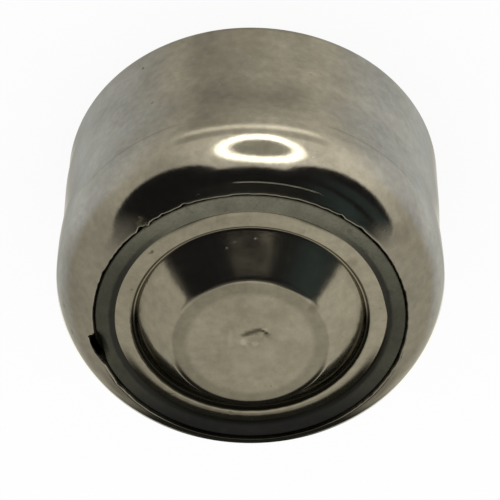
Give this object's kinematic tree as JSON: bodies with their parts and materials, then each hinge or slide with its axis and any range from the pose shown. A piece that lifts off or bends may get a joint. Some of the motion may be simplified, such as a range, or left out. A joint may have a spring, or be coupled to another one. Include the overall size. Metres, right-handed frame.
{
  "type": "button cell",
  "caption": "Alkaline button cell with a crimped can, a gasket ring and a stepped cap that ends in a raised round contact boss.",
  "frame": {"origin": "centre of the can's flat floor, which is the positive contact face", "axes": "+Z along the cell's axis, from the positive face towards the negative contact boss; +X towards the break in the lip, less 14 degrees"},
  "size_m": [0.0078, 0.0078, 0.0054],
  "materials": {
    "can_steel": "bright nickel plating, handled and slightly tarnished",
    "cap_steel": "satin nickel-clad sheet with pits and a small dent",
    "gasket_nylon": "smooth dull nylon",
    "zinc_gel": "grey metal powder in gel",
    "pad_fibre": "non-woven fibre",
    "barrier_film": "thin cellulose film",
    "ring_steel": "plain nickel plating",
    "cathode_mix": "pressed black powder"
  },
  "bodies": {
    "root": {"positive_can": "can_steel", "negative_cap": "cap_steel", "sealing_gasket": "gasket_nylon", "zinc_anode": "zinc_gel", "absorbent_pad": "pad_fibre", "separator_film": "barrier_film", "support_ring": "ring_steel", "cathode_pellet": "cathode_mix"}
  },
  "joints": []
}
